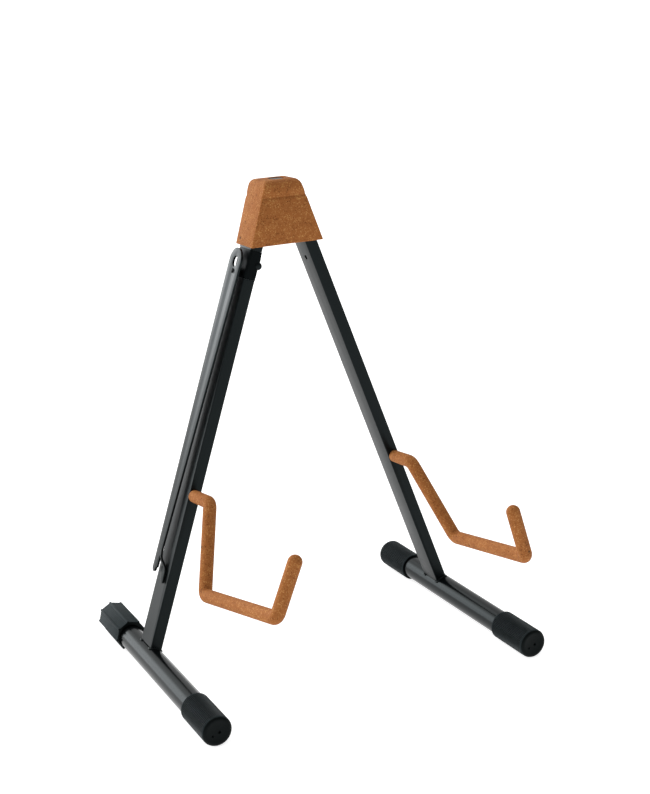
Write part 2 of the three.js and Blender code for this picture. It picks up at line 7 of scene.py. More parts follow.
import bmesh
import bpy
from mathutils import Matrix, Vector


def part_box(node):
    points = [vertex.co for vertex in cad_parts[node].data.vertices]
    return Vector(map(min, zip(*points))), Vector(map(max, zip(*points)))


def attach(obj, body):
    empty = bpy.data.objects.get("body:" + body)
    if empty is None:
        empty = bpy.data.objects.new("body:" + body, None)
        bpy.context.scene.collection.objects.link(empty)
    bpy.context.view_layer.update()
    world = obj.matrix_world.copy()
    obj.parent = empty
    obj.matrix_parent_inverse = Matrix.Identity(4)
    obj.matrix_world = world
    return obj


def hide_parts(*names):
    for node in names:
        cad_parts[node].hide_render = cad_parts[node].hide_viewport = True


bl_info = {
    "name": "Folding A-frame stand",
    "version": (1, 0, 0),
    "blender": (4, 5, 0),
    "location": "View3D > Sidebar > Stand",
    "description": "Builds a folding cork-topped floor stand around its packed CAD model",
    "category": "Add Mesh",
}

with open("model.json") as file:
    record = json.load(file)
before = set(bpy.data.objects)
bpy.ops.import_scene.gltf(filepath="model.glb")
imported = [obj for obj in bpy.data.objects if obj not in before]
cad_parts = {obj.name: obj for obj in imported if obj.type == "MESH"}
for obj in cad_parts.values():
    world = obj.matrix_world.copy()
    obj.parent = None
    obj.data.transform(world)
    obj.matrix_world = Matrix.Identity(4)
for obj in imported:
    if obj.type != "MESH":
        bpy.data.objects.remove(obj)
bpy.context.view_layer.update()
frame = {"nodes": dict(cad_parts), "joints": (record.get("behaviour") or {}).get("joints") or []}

MM = 0.001
RIGHT = 1
LEFT = -1
SIDES = {"right": RIGHT, "left": LEFT}

# ---- Places taken from the frame ----------------------------------------------------------


def joint(name):
    return next(j for j in frame["joints"] if j["name"] == name)


def middle(node):
    """Middle of a CAD node's box, in millimetres."""
    low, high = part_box(node)
    return (low + high) / 2 / MM


def reach(node):
    """Lowest and highest corner of a CAD node's box, in millimetres."""
    low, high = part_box(node)
    return low / MM, high / MM


BAR_AXIS = Vector(joint("locking_bar_swing")["axis"])
LEAN = math.atan2(-BAR_AXIS.z, BAR_AXIS.x)
PIN = Vector(joint("left_leg_fold")["pos_m"]) / MM
# How far inboard of its foot tube's axis each leg's middle line passes, in millimetres
LEG_INSET = {RIGHT: 0.0, LEFT: 1.0}
BAR_PIVOT = Vector(joint("locking_bar_swing")["pos_m"]) / MM


def foot_frame(side):
    """Middle of a foot tube: +X to the right, +Y to the rear, +Z up, all in metres."""
    name = "right" if side == RIGHT else "left"
    return Matrix.Translation(middle(f"{name}_foot_tube") * MM)


def leg_frame(side):
    """The middle of the leg's section at the foot tube's height, with +Z up the leaning leg."""
    aside = Matrix.Translation((-side * LEG_INSET[side] * MM, 0, 0))
    return foot_frame(side) @ aside @ Matrix.Rotation(-side * LEAN, 4, "Y")


def foot_in_leg(side):
    """X and Z of the foot tube's axis in the leg's frame."""
    inset = LEG_INSET[side]
    return side * inset * math.cos(LEAN), -inset * math.sin(LEAN)


def in_leg(side, point):
    """A place given in the stand's frame, in millimetres, in a leg's own frame."""
    return leg_frame(side).inverted() @ (Vector(point) * MM) / MM


# ---- Sizes and colours a user would change ------------------------------------------------


def length(name, description, default):
    return bpy.props.FloatProperty(name=name, description=description, default=default, unit="LENGTH")


def colour(name, description, default):
    return bpy.props.StringProperty(name=name, description=description, default=default)


class StandSizes(bpy.types.PropertyGroup):
    """Sizes of the stand's visible pieces."""

    tube_radius: length("Foot tube radius", "Outside radius of the foot tubes", 12.5 * MM)
    tube_wall: length("Foot tube wall", "Wall of the foot tubes", 1.3 * MM)
    leg_width: length("Leg width", "Leg section, side to side", 12.4 * MM)
    leg_depth: length("Leg depth", "Leg section, front to back", 28.8 * MM)
    leg_wall: length("Leg wall", "Wall of the legs", 1.2 * MM)
    leg_edge: length("Leg edge", "Rounding of the legs' long edges", 0.9 * MM)
    leg_hole: length("Leg hole radius", "Hole in the right leg's inner side", 2.5 * MM)
    weld_bead: length("Weld bead", "Radius of the weld beads", 1.3 * MM)
    cap_radius: length("Cap radius", "Outside radius of the round caps, over the ribs", 14.9 * MM)
    cap_length: length("Cap length", "Length of a cap along its foot tube", 56 * MM)
    rib_depth: length("Rib depth", "Depth of the grooves between the caps' ribs", 1.1 * MM)
    rib_count: bpy.props.IntProperty(
        name="Ribs", description="Ribs round a cap", default=60, min=12, max=120)
    star_radius: length("Levelling cap radius", "Radius over the levelling cap's ridges", 16.9 * MM)
    star_hollow: length("Levelling cap hollow", "Radius at the middle of a hollow", 15 * MM)
    star_turn: bpy.props.FloatProperty(
        name="Levelling cap turn", description="How far the cap is turned at rest",
        default=math.radians(8), subtype="ANGLE")
    sleeve_radius: length("Arm radius", "Outside radius of the cork arms", 6.7 * MM)
    arm_bend: length("Arm bend", "Bend radius at the middle of an arm", 8 * MM)
    bar_thickness: length("Bar thickness", "Thickness of the flat bar", 2.2 * MM)
    bar_standoff: length("Bar stand-off", "Gap between the leg and the bar", 4.6 * MM)
    ear_radius: length("Bar ear radius", "Radius of the bar's rounded upper end", 13.8 * MM)
    ear_hole: length("Bar hole radius", "Radius of the hole through the bar's ear", 5.6 * MM)
    cork_wall: length("Head cork", "Thickness of the head's cork", 2.4 * MM)
    badge_radius: length("Insert radius", "Radius of the round insert in the head", 7.8 * MM)


class StandColours(bpy.types.PropertyGroup):
    """Colours of the stand's finishes, as sRGB hex values."""

    cork_light: colour("Cork, light grains", "Palest cork grains", "#C28C52")
    cork_mid: colour("Cork, middle grains", "Most of the cork grains", "#965C2E")
    cork_dark: colour("Cork, dark grains", "Bark and burnt grains", "#5F3312")
    # Painted shade inside the cork's pits
    cork_pit_shade: colour("Cork pits", "Inside of the small pits", "#3A2010")
    paint: colour("Powder coat", "Black powder coat on the legs and bar", "#080B0C")
    gloss: colour("Tube powder coat", "Black powder coat on the foot tubes", "#07090A")
    rubber: colour("Cap rubber", "Charcoal rubber of the caps", "#23292B")
    plastic: colour("Knuckle plastic", "Black moulded nylon", "#060809")
    badge: colour("Insert", "Dark grey insert in the head", "#33383A")
    # Darker copy of the cap rubber: painted shade on the caps' end faces and in their rib grooves
    rubber_painted_shade: colour("Cap end and grooves, painted shade", "Painted shade on the caps' smooth end faces and in their rib grooves", "#060808")
    zinc: colour("Zinc plate", "Rivets, screws and washers", "#B4B6B8")


def sizes():
    """The stand's sizes in millimetres, by name."""
    group = bpy.context.scene.stand_sizes
    scale = {name: 1 / MM for name in group.__annotations__}
    scale.update(rib_count=1, star_turn=1)
    return {name: getattr(group, name) * factor for name, factor in scale.items()}


# ---- Modelling helpers, in millimetres -----------------------------------------------------


def deselect():
    if bpy.context.object and bpy.context.object.mode != "OBJECT":
        bpy.ops.object.mode_set(mode="OBJECT")
    bpy.ops.object.select_all(action="DESELECT")


def pick(piece):
    """Leaves one object selected and active."""
    deselect()
    piece.select_set(True)
    bpy.context.view_layer.objects.active = piece


def named(name):
    piece = bpy.context.object
    piece.name = name
    piece.data.name = name
    return piece


def edit(piece):
    pick(piece)
    bpy.ops.object.mode_set(mode="EDIT")
    bpy.ops.mesh.select_mode(type="VERT")
    bpy.ops.mesh.select_all(action="SELECT")


def done():
    bpy.ops.object.mode_set(mode="OBJECT")


def select(kind, test):
    """In edit mode, selects just the verts, edges or faces that pass the test."""
    mesh = bmesh.from_edit_mesh(bpy.context.object.data)
    bpy.ops.mesh.select_mode(type={"verts": "VERT", "edges": "EDGE", "faces": "FACE"}[kind])
    bpy.ops.mesh.select_all(action="DESELECT")
    chosen = [part for part in getattr(mesh, kind) if test(part)]
    for part in chosen:
        part.select_set(True)
    mesh.select_flush_mode()
    bmesh.update_edit_mesh(bpy.context.object.data)
    return len(chosen)


def block(name, low, high):
    """A box between two corners, to be shaped further."""
    deselect()
    low, high = Vector(low) * MM, Vector(high) * MM
    bpy.ops.mesh.primitive_cube_add(size=1, location=(low + high) / 2, scale=high - low)
    bpy.ops.object.transform_apply(location=True, rotation=True, scale=True)
    return named(name)


def rod(name, radius, start, end, sides=48):
    """A round bar from one point to another."""
    deselect()
    start, end = Vector(start) * MM, Vector(end) * MM
    along = end - start
    turn = along.to_track_quat("Z", "Y").to_euler()
    bpy.ops.mesh.primitive_cylinder_add(
        vertices=sides, radius=radius * MM, depth=along.length, location=(start + end) / 2,
        rotation=turn)
    bpy.ops.object.transform_apply(location=True, rotation=True, scale=True)
    return named(name)


def outline(name, points, closed=False):
    """Draws a line from point to point, and leaves it in edit mode, all selected."""
    deselect()
    bpy.ops.mesh.primitive_plane_add(size=MM)
    piece = named(name)
    edit(piece)
    bpy.ops.mesh.merge(type="CENTER")
    points = [Vector(point) * MM for point in points]
    bpy.ops.transform.translate(value=points[0])
    for last, point in zip(points, points[1:]):
        bpy.ops.mesh.extrude_region_move(TRANSFORM_OT_translate={"value": point - last})
    bpy.ops.mesh.select_all(action="SELECT")
    if closed:
        bpy.ops.mesh.edge_face_add()
    return piece


def plate(name, points, depth):
    """A flat outline pushed out along one direction."""
    piece = outline(name, points, closed=True)
    bpy.ops.mesh.extrude_region_move(TRANSFORM_OT_translate={"value": Vector(depth) * MM})
    bpy.ops.mesh.select_all(action="SELECT")
    bpy.ops.mesh.normals_make_consistent(inside=False)
    done()
    return piece


def turned(name, profile, steps=64):
    """Spins a profile of (radius, y) points about the Y axis."""
    piece = outline(name, [(radius, y, 0) for radius, y in profile])
    bpy.ops.mesh.spin(steps=steps, angle=2 * math.pi, center=(0, 0, 0), axis=(0, 1, 0))
    bpy.ops.mesh.select_all(action="SELECT")
    bpy.ops.mesh.remove_doubles(threshold=0.002 * MM)
    bpy.ops.mesh.select_all(action="SELECT")
    bpy.ops.mesh.normals_make_consistent(inside=False)
    done()
    return piece


def apply(piece, kind, **settings):
    """Adds a modifier and applies it."""
    pick(piece)
    modifier = piece.modifiers.new(kind.title(), kind)
    for name, value in settings.items():
        setattr(modifier, name, value)
    bpy.ops.object.modifier_apply(modifier=modifier.name)


def combine(piece, operation, tools):
    for tool in tools:
        apply(piece, "BOOLEAN", operation=operation, solver="EXACT", object=tool)
        bpy.data.objects.remove(tool)


def cut(piece, *tools):
    combine(piece, "DIFFERENCE", tools)


def join(piece, *tools):
    combine(piece, "UNION", tools)


def soften(piece, width, segments=2, angle=35):
    """Rounds every sharp edge."""
    apply(piece, "BEVEL", width=width * MM, segments=segments, limit_method="ANGLE",
          angle_limit=math.radians(angle), miter_outer="MITER_ARC", use_clamp_overlap=True)


def set_down(piece, place, angle=38):
    """Puts a finished piece in its place, with the place in its mesh."""
    piece.matrix_world = place
    pick(piece)
    bpy.ops.object.transform_apply(location=True, rotation=True, scale=True)
    bpy.ops.object.shade_smooth_by_angle(angle=math.radians(angle))
    return piece


def register_piece(piece, body, finish, replaced=()):
    """Gives a piece its finish, puts it on the body it rides on and hides the CAD parts it replaces."""
    piece.data.materials.clear()
    piece.data.materials.append(finish)
    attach(piece, body)
    if replaced:
        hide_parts(*replaced)


def copy_of(piece, name, shift):
    """A second piece like the first, with its own mesh."""
    pick(piece)
    bpy.ops.object.duplicate()
    twin = named(name)
    twin.matrix_world = Matrix.Translation(Vector(shift) * MM)
    bpy.ops.object.transform_apply(location=True, rotation=True, scale=True)
    return twin


# ---- Finishes -----------------------------------------------------------------------------


def linear(hex_value):
    """An sRGB hex colour as linear RGBA."""
    parts = [int(hex_value[k:k + 2], 16) / 255 for k in (1, 3, 5)]
    return [c / 12.92 if c <= 0.04045 else ((c + 0.055) / 1.055) ** 2.4 for c in parts] + [1.0]


def add(tree, kind, settings=None, links=None):
    """Adds one node, sets its sockets and properties and links its inputs."""
    node = tree.nodes.new(kind)
    for name, value in (settings or {}).items():
        if isinstance(name, int) or name in node.inputs:
            node.inputs[name].default_value = value
        else:
            setattr(node, name, value)
    for name, source in (links or {}).items():
        tree.links.new(source, node.inputs[name])
    return node


def ramp(node, stops):
    """Sets a colour ramp's stops, as (position, colour)."""
    elements = node.color_ramp.elements
    while len(elements) > 1:
        elements.remove(elements[-1])
    elements[0].position, elements[0].color = stops[0]
    for position, value in stops[1:]:
        elements.new(position).color = value
    return node


def new_finish(name, **shader):
    """An empty material with its shader and object coordinates."""
    material = bpy.data.materials.new(name)
    material.use_nodes = True
    tree = material.node_tree
    tree.nodes.clear()
    surface = add(tree, "ShaderNodeBsdfPrincipled", shader)
    add(tree, "ShaderNodeOutputMaterial", links={"Surface": surface.outputs[0]})
    place = add(tree, "ShaderNodeTexCoord").outputs["Object"]
    return material, tree, surface, place


def per_metre(size_mm):
    """Texture scale that gives a feature of this size."""
    return 1 / (size_mm * MM)


def shaded(hex_value, factor):
    """A colour made darker or lighter by a factor."""
    return [c * factor for c in linear(hex_value)[:3]] + [1]


def noise(tree, place, size_mm, detail):
    """Cloudy noise with features of this size."""
    settings = {"Scale": per_metre(size_mm), "Detail": detail}
    return add(tree, "ShaderNodeTexNoise", settings, {"Vector": place}).outputs["Fac"]


def tone(tree, value, stops):
    """Colours, or grey levels, picked along a value."""
    return ramp(add(tree, "ShaderNodeValToRGB", links={"Fac": value}), stops).outputs["Color"]


def raise_surface(tree, surface, height, strength, depth_mm):
    """Bumps a finish by a height."""
    bump = add(tree, "ShaderNodeBump", {"Strength": strength, "Distance": depth_mm * MM},
               {"Height": height})
    tree.links.new(bump.outputs[0], surface.inputs["Normal"])


def vary_gloss(tree, surface, value, low, high):
    """Lets a finish's roughness wander between two levels."""
    spread = add(tree, "ShaderNodeMapRange", {"To Min": low, "To Max": high}, {"Value": value})
    tree.links.new(spread.outputs["Result"], surface.inputs["Roughness"])


def agglomerated_cork(colours):
    """Agglomerated cork: ground bark pressed with a binder, cut and sanded. It gives packed
    grains of close browns, a few dark bark grains and pits, and a dry surface."""
    material, tree, surface, place = new_finish(
        "Agglomerated cork, sanded", **{"Roughness": 0.75, "Specular IOR Level": 0.12})
    # Fine ground cork is sieved to about 1 mm
    grain_size = {"Scale": per_metre(0.9)}
    grains = add(tree, "ShaderNodeTexVoronoi", grain_size, {"Vector": place})
    edges = add(tree, "ShaderNodeTexVoronoi",
                {"feature": "DISTANCE_TO_EDGE", **grain_size}, {"Vector": place})
    # Colour wanders over 12 mm as the grain mix does
    shade = noise(tree, place, 12, 3.0)
    fine = noise(tree, place, 0.6, 2.0)
    one = add(tree, "ShaderNodeSeparateColor", links={"Color": grains.outputs["Color"]})
    mixed = add(tree, "ShaderNodeMath", {"operation": "MULTIPLY_ADD", 1: 0.7},
                {0: shade, 2: one.outputs["Red"]})
    speckled = add(tree, "ShaderNodeMath", {"operation": "MULTIPLY_ADD", 1: 0.3},
                   {0: fine, 2: mixed.outputs[0]})
    evened = add(tree, "ShaderNodeMapRange", {"From Max": 2.0}, {"Value": speckled.outputs[0]})
    grain_colour = tone(tree, evened.outputs["Result"], [
        (0.2, linear(colours.cork_dark)), (0.34, linear(colours.cork_mid)),
        (0.62, linear(colours.cork_mid)), (0.84, linear(colours.cork_light))])
    # Rare pits up to about 3 mm across, where a clump of grains has pulled out; their insides are painted dark
    # as shade
    pits = add(tree, "ShaderNodeTexVoronoi", {"Scale": per_metre(18)}, {"Vector": place})
    pit = tone(tree, pits.outputs["Distance"], [(0.06, (1, 1, 1, 1)), (0.1, (0, 0, 0, 1))])
    final = add(tree, "ShaderNodeMix", {"data_type": "RGBA", 7: linear(colours.cork_pit_shade)},
                {0: pit, 6: grain_colour})
    tree.links.new(final.outputs[2], surface.inputs["Base Color"])
    seams = tone(tree, edges.outputs["Distance"], [(0.0, (0, 0, 0, 1)), (0.12, (1, 1, 1, 1))])
    height = add(tree, "ShaderNodeMath", {"operation": "SUBTRACT"}, {0: seams, 1: pit})
    rough = add(tree, "ShaderNodeMath", {"operation": "ADD"}, {0: height.outputs[0], 1: fine})
    raise_surface(tree, surface, rough.outputs[0], 0.3, 0.14)
    return material


# The blacks reflect a little more green and blue than red
BLACK_TINT = {"Specular Tint": (0.8, 0.98, 1, 1)}


def powder_coat(name, hex_value, roughness, peel):
    """Polyester powder baked on steel: black, with a fine orange peel that breaks up
    reflections."""
    material, tree, surface, place = new_finish(
        name, **{"Roughness": roughness, "Specular IOR Level": 0.13}, **BLACK_TINT)
    # Orange peel waves are 1 to 2 mm long
    raise_surface(tree, surface, noise(tree, place, 1.6, 2.0), peel, 0.05)
    # Handling leaves the sheen slightly uneven over 30 mm
    haze = noise(tree, place, 30, 4.0)
    vary_gloss(tree, surface, haze, roughness - 0.04, roughness + 0.05)
    dust = tone(tree, haze, [(0.35, linear(hex_value)), (0.8, shaded(hex_value, 1.25))])
    tree.links.new(dust, surface.inputs["Base Color"])
    return material


def moulded(name, hex_value, roughness, sheen, grit, depth):
    """Injection-moulded plastic or rubber from a spark-eroded mould: an even, fine grit."""
    material, tree, surface, place = new_finish(
        name, **{"Roughness": roughness, "Specular IOR Level": sheen}, **BLACK_TINT)
    raise_surface(tree, surface, noise(tree, place, grit, 2.0), 0.3, depth)
    patch = tone(tree, noise(tree, place, 12, 3.0),
                 [(0.3, shaded(hex_value, 0.85)), (0.75, shaded(hex_value, 1.2))])
    tree.links.new(patch, surface.inputs["Base Color"])
    return material


def zinc_plate(hex_value):
    """Bright zinc plate over turned or pressed steel: pale metal with a slight bloom."""
    material, tree, surface, place = new_finish(
        "Bright zinc plate", **{"Metallic": 1.0, "Roughness": 0.35})
    bloom = noise(tree, place, 3, 4.0)
    plate_tone = tone(tree, bloom, [(0.3, shaded(hex_value, 0.8)), (0.7, linear(hex_value))])
    tree.links.new(plate_tone, surface.inputs["Base Color"])
    vary_gloss(tree, surface, bloom, 0.28, 0.45)
    return material


def finish(key):
    """One of the stand's finishes, made the first time it is asked for."""
    colours = bpy.context.scene.stand_colours
    makers = {
        "cork": lambda: agglomerated_cork(colours),
        "paint": lambda: powder_coat("Satin black powder coat", colours.paint, 0.3, 0.2),
        "gloss": lambda: powder_coat("Semi-gloss black powder coat", colours.gloss, 0.2, 0.15),
        "rubber": lambda: moulded("Moulded rubber", colours.rubber, 0.6, 0.08, 0.8, 0.04),
        "plastic": lambda: moulded("Moulded nylon", colours.plastic, 0.42, 0.05, 0.6, 0.03),
        "badge": lambda: moulded("Moulded insert, polished", colours.badge, 0.25, 0.4, 0.6, 0.01),
        # A darker, smoother copy of the cap rubber: its darker colour is painted shade for end faces and rib
        # grooves, its smoother finish is real
        "rubber_painted_shade": lambda: moulded(
            "Moulded rubber, smooth end", colours.rubber_painted_shade, 0.4, 0.08, 0.8, 0.01),
        "zinc": lambda: zinc_plate(colours.zinc),
    }
    if key not in FINISHES:
        FINISHES[key] = makers[key]()
    return FINISHES[key]


FINISHES = {}

# ---- Feet and their caps ------------------------------------------------------------------


def build_feet():
    size = sizes()
    outer = size["tube_radius"]
    inner = outer - size["tube_wall"]
    for name, side in SIDES.items():
        low, high = reach(f"{name}_foot_tube")
        half = (high.y - low.y) / 2
        tube = turned(f"{name}_foot", [
            (inner, -half), (outer - 0.3, -half), (outer, 0.3 - half), (outer, half - 0.3),
            (outer - 0.3, half), (inner, half), (inner, -half)], steps=96)
        set_down(tube, foot_frame(side))
        body = f"{name}_side"
        register_piece(tube, body, finish("gloss"), [f"{name}_foot_tube"])


def cap_profile(size, bore):
    """Half section of a round cap, its rim at y = 0 and its closed end at its length."""
    radius, end = size["cap_radius"], size["cap_length"]
    return [
        (bore, 0), (radius - 0.9, 0), (radius - 0.25, 0.25), (radius, 0.9), (radius, 1.6),
        (radius, end - 3.4), (radius - 0.1, end - 2.7), (radius - 0.7, end - 1.4),
        (radius - 1.7, end - 0.5), (radius - 2.9, end - 0.1), (radius - 4.2, end),
        (radius - 5.2, end - 0.35), (0, end - 0.6), (0, end - 4), (bore, end - 4), (bore, 0),
    ]


def press_ribs(cap, size):
    """Presses a groove between every two ribs, by drawing in each third line of the cap."""
    radius, end, count = size["cap_radius"], size["cap_length"], size["rib_count"]
    ribbed = (1.2 * MM, (end - 3) * MM)
    edit(cap)
    step = 2 * math.pi / (3 * count)

    def in_groove(vert):
        x, y, z = vert.co
        on_skin = math.hypot(x, z) > (radius - 0.05) * MM and ribbed[0] < y < ribbed[1]
        return on_skin and round(math.atan2(z, x) / step) % 3 == 0

    select("verts", in_groove)
    shrink = 1 - size["rib_depth"] / radius
    bpy.ops.transform.resize(value=(shrink, 1, shrink), center_override=(0, 0, 0))
    done()


def build_round_caps():
    size = sizes()
    bore = size["tube_radius"] + 0.3
    cap = turned("round_cap", cap_profile(size, bore), steps=3 * size["rib_count"])
    press_ribs(cap, size)
    # Two small gate marks in the end face
    end = size["cap_length"]
    marks = [rod("gate", r, (x, end - 2.4, z), (x, end + 1, z), 24)
             for r, x, z in ((1.6, -1.9, -1), (1.2, 5, -3.5))]
    cut(cap, *marks)
    places = {"right_front_cap": (RIGHT, math.pi), "left_front_cap": (LEFT, math.pi),
              "right_rear_cap": (RIGHT, 0)}
    for node, (side, turn) in places.items():
        low, high = reach(node)
        rim = high.y if turn else low.y
        name = node.replace("_cap", "_ribbed_cap")
        twin = copy_of(cap, name, (0, 0, 0))
        at = middle(node)
        place = Matrix.Translation(Vector((at.x, rim, foot_axis(side))) * MM)
        set_down(twin, place @ Matrix.Rotation(turn, 4, "Z"), angle=30)
        body = "right_side" if side == RIGHT else "left_side"
        register_piece(twin, body, finish("rubber"), [node])
        axis = Vector((at.x, 0, foot_axis(side)))
        # Painted shade: the end faces and the rib grooves get the darker rubber
        paint_shade_on_end_faces(twin, axis, size["cap_radius"] - 0.6)
        paint_shade_in_grooves(twin, axis, size["cap_radius"] - 0.3)
    bpy.data.objects.remove(cap)


def paint_shade_on_end_faces(cap, axis, radius):
    """Gives a cap's end faces, out to a radius, the darker smooth rubber: painted shade on the end faces, with
    a smoother finish.
    """
    cap.data.materials.append(finish("rubber_painted_shade"))
    for face in cap.data.polygons:
        middle_of = face.center / MM - axis
        if math.hypot(middle_of.x, middle_of.z) < radius and abs(face.normal.y) > 0.5:
            face.material_index = 1


def paint_shade_in_grooves(cap, axis, radius):
    """Paints shade into the grooves between a cap's ribs, by giving their sides the darker end rubber."""
    for face in cap.data.polygons:
        middle_of = face.center / MM - axis
        inside = math.hypot(middle_of.x, middle_of.z) < radius
        if inside and abs(face.normal.y) < 0.2 and face.area > 10 * MM ** 2:
            face.material_index = 1


def foot_axis(side):
    """Height of a foot tube's axis, in millimetres."""
    return foot_frame(side).translation.z / MM


def star_radius_at(size, place):
    """Radius of the levelling cap, with `place` 0 at a ridge and 1 at the middle of a hollow."""
    ridge, hollow = size["star_radius"], size["star_hollow"]
    if place < 0.1:
        return ridge
    if place < 0.2:
        return ridge - 0.25
    shoulder = ridge - 1.15
    return hollow + (shoulder - hollow) * (1 - (place - 0.2) / 0.8) ** 2


def build_levelling_cap():
    size = sizes()
    low, high = reach("levelling_cap")
    at = middle("levelling_cap")
    per_ridge = 18
    sides = 8 * per_ridge
    cap = rod("levelling_cap_moulding", 1, (0, low.y, 0), (0, high.y, 0), sides)
    edit(cap)
    step = 2 * math.pi / sides
    for k in range(per_ridge // 2 + 1):
        reached = star_radius_at(size, k / (per_ridge / 2))
        if k >= 3 and k % 2:
            reached -= 0.3

        def on_line(vert):
            turn = round((math.atan2(vert.co.z, vert.co.x) / step)) % per_ridge
            return math.hypot(vert.co.x, vert.co.z) < 1.1 * MM and min(turn, per_ridge - turn) == k

        select("verts", on_line)
        bpy.ops.transform.resize(value=(reached, 1, reached), center_override=(0, 0, 0))
    done()
    cap.matrix_world = Matrix.Rotation(-size["star_turn"], 4, "Y")
    pick(cap)
    bpy.ops.object.transform_apply(location=True, rotation=True, scale=True)
    soften(cap, 0.6, 2, 60)
    centre = Vector((at.x, 0, at.z))
    axis = Vector((foot_frame(LEFT).translation.x / MM, 0, foot_axis(LEFT)))
    offset = axis - centre
    bore = rod("bore", size["tube_radius"] + 0.3, (offset.x, low.y - 1, offset.z),
               (offset.x, high.y - 4, offset.z), 72)
    mouth = rod("mouth", size["tube_radius"] + 1.1, (offset.x, low.y - 1, offset.z),
                (offset.x, low.y + 1.2, offset.z), 72)
    dish = rod("dish", 10.5, (0, high.y - 0.7, 0), (0, high.y + 1, 0), 64)
    cut(cap, bore, mouth, dish)
    set_down(cap, Matrix.Translation(centre * MM), angle=25)
    register_piece(cap, "levelling_foot", finish("rubber"), ["levelling_cap"])
    # Painted shade: the levelling cap's end faces get the darker rubber
    paint_shade_on_end_faces(cap, centre, size["star_radius"] + 1)


# ---- Legs and their welds ------------------------------------------------------------------


def leg_section(size):
    """Front, rear, half width and wall of a leg, in its own frame."""
    low, high = reach("right_leg")
    centre = (low.y + high.y) / 2 - foot_frame(RIGHT).translation.y / MM
    half = size["leg_depth"] / 2
    return centre - half, centre + half, size["leg_width"] / 2, size["leg_wall"]


def rectangular_tube(name, size, low, high):
    """The legs' rectangular tube with rounded long edges."""
    front, rear, half, wall = leg_section(size)
    tube = block(name, (-half, front, low), (half, rear, high))
    edit(tube)
    select("edges", lambda e: abs(e.verts[0].co.z - e.verts[1].co.z) > 20 * MM)
    bpy.ops.mesh.bevel(offset=size["leg_edge"] * MM, segments=4, affect="EDGES")
    done()
    cut(tube, block("hollow", (wall - half, front + wall, low - 5),
                    (half - wall, rear - wall, high + 5)))
    return tube


def leg_tube(name, size, side, top):
    """A leg coped over its foot tube, with its outboard wall cut a little shorter."""
    front, rear, half, wall = leg_section(size)
    leg = rectangular_tube(name, size, 4, top)
    x, z = foot_in_leg(side)
    radius = size["tube_radius"]
    cope = rod("cope", radius + 0.15, (x, front - 9, z), (x, rear + 9, z), 96)
    edge = sorted((side * (half - wall - 0.3), side * (half + 2)))
    relief = rod("relief", radius + 1.1, (x, front + 3.4, z), (x, rear - 3.4, z), 96)
    apply(relief, "BOOLEAN", operation="INTERSECT", solver="EXACT",
          object=block("limit", (edge[0], front, -20), (edge[1], rear, 20)))
    bpy.data.objects.remove(bpy.data.objects["limit"])
    cut(leg, cope, relief)
    return leg


def weld_path(size, side, at, direction):
    """Points of a weld across a leg's front or rear, wrapping a little round both corners."""
    _, _, half, _ = leg_section(size)
    axis_x, axis_z = foot_in_leg(side)
    radius = size["tube_radius"]
    reached = half + 0.5
    count = 6
    wrap = [(-reached, at + direction * (4.6 - k)) for k in range(4)]
    across = [(-reached + 2 * reached * k / count, at - direction * 0.4) for k in range(count + 1)]
    back = [(reached, y) for _, y in reversed(wrap)]
    path = wrap + across + back
    return [(x, y, axis_z + math.sqrt(radius ** 2 - (x - axis_x) ** 2) + 0.2) for x, y in path]


def weld_bead(name, size, path):
    """A bead laid in overlapping puddles along the path."""
    bead = outline(name, path)
    done()
    pick(bead)
    bpy.ops.object.convert(target="CURVE")
    curve = bpy.context.object.data
    curve.bevel_depth = size["weld_bead"] * MM
    curve.bevel_resolution = 3
    curve.use_fill_caps = True
    points = curve.splines[0].points
    for k, point in enumerate(points):
        puddle = 1.0 if k % 2 else 0.78
        point.radius = 0.45 if k in (0, len(points) - 1) else puddle
    pick(bead)
    bpy.ops.object.convert(target="MESH")
    bead = bpy.context.object
    apply(bead, "SUBSURF", levels=1, render_levels=1)
    return bead


def leg_top(node):
    """How far up its own frame a leg reaches."""
    mesh = frame["nodes"][node].data
    side = RIGHT if node.startswith("right") else LEFT
    inverse = leg_frame(side).inverted()
    return max((inverse @ vert.co).z for vert in mesh.vertices) / MM


def build_legs():
    size = sizes()
    front, rear, half, _ = leg_section(size)
    pin_up = in_leg(LEFT, PIN).z
    for name, side in SIDES.items():
        leg = leg_tube(f"{name}_leg_tube", size, side, leg_top(f"{name}_leg"))
        if side == RIGHT:
            y = (front + rear) / 2
            cut(leg, rod("drill", size["leg_hole"], (-half - 3, y, pin_up), (0, y, pin_up), 40))
        set_down(leg, leg_frame(side), angle=25)
        body = f"{name}_side"
        register_piece(leg, body, finish("paint"), [f"{name}_leg"])
        for end, (at, direction) in {"front": (front, 1), "rear": (rear, -1)}.items():
            bead = weld_bead(f"{name}_{end}_weld", size, weld_path(size, side, at, direction))
            set_down(bead, leg_frame(side), angle=60)
            register_piece(bead, body, finish("paint"))


# ---- Fold hinge ---------------------------------------------------------------------------


def knuckle_body(size, start, top, pin):
    """The knuckle's body: square on top, rounded outboard, with a gusset down to its barrels."""
    front, rear, half, _ = leg_section(size)
    outline_xz = [(-half, start), (half, start), (half, pin.z - 3.8), (pin.x + 1, pin.z + 3.6),
                  (half, top), (-half, top)]
    body = plate("knuckle_moulding", [(x, front, z) for x, z in outline_xz], (0, rear - front, 0))
    edit(body)
    select("edges", lambda e: max(v.co.x for v in e.verts) < (0.1 - half) * MM and
           abs(e.verts[0].co.z - e.verts[1].co.z) > 20 * MM)
    bpy.ops.mesh.bevel(offset=2.6 * MM, segments=5, affect="EDGES")
    done()
    return body


KNUCKLE_GAP = 0.05           # seams of the knuckle with the leg below and the stub above
STUB_GAP = 0.15
KNUCKLE_HEIGHT = 28.95
BARREL_RADIUS = 3.8
PIN_HOLE_RADIUS = 2.3


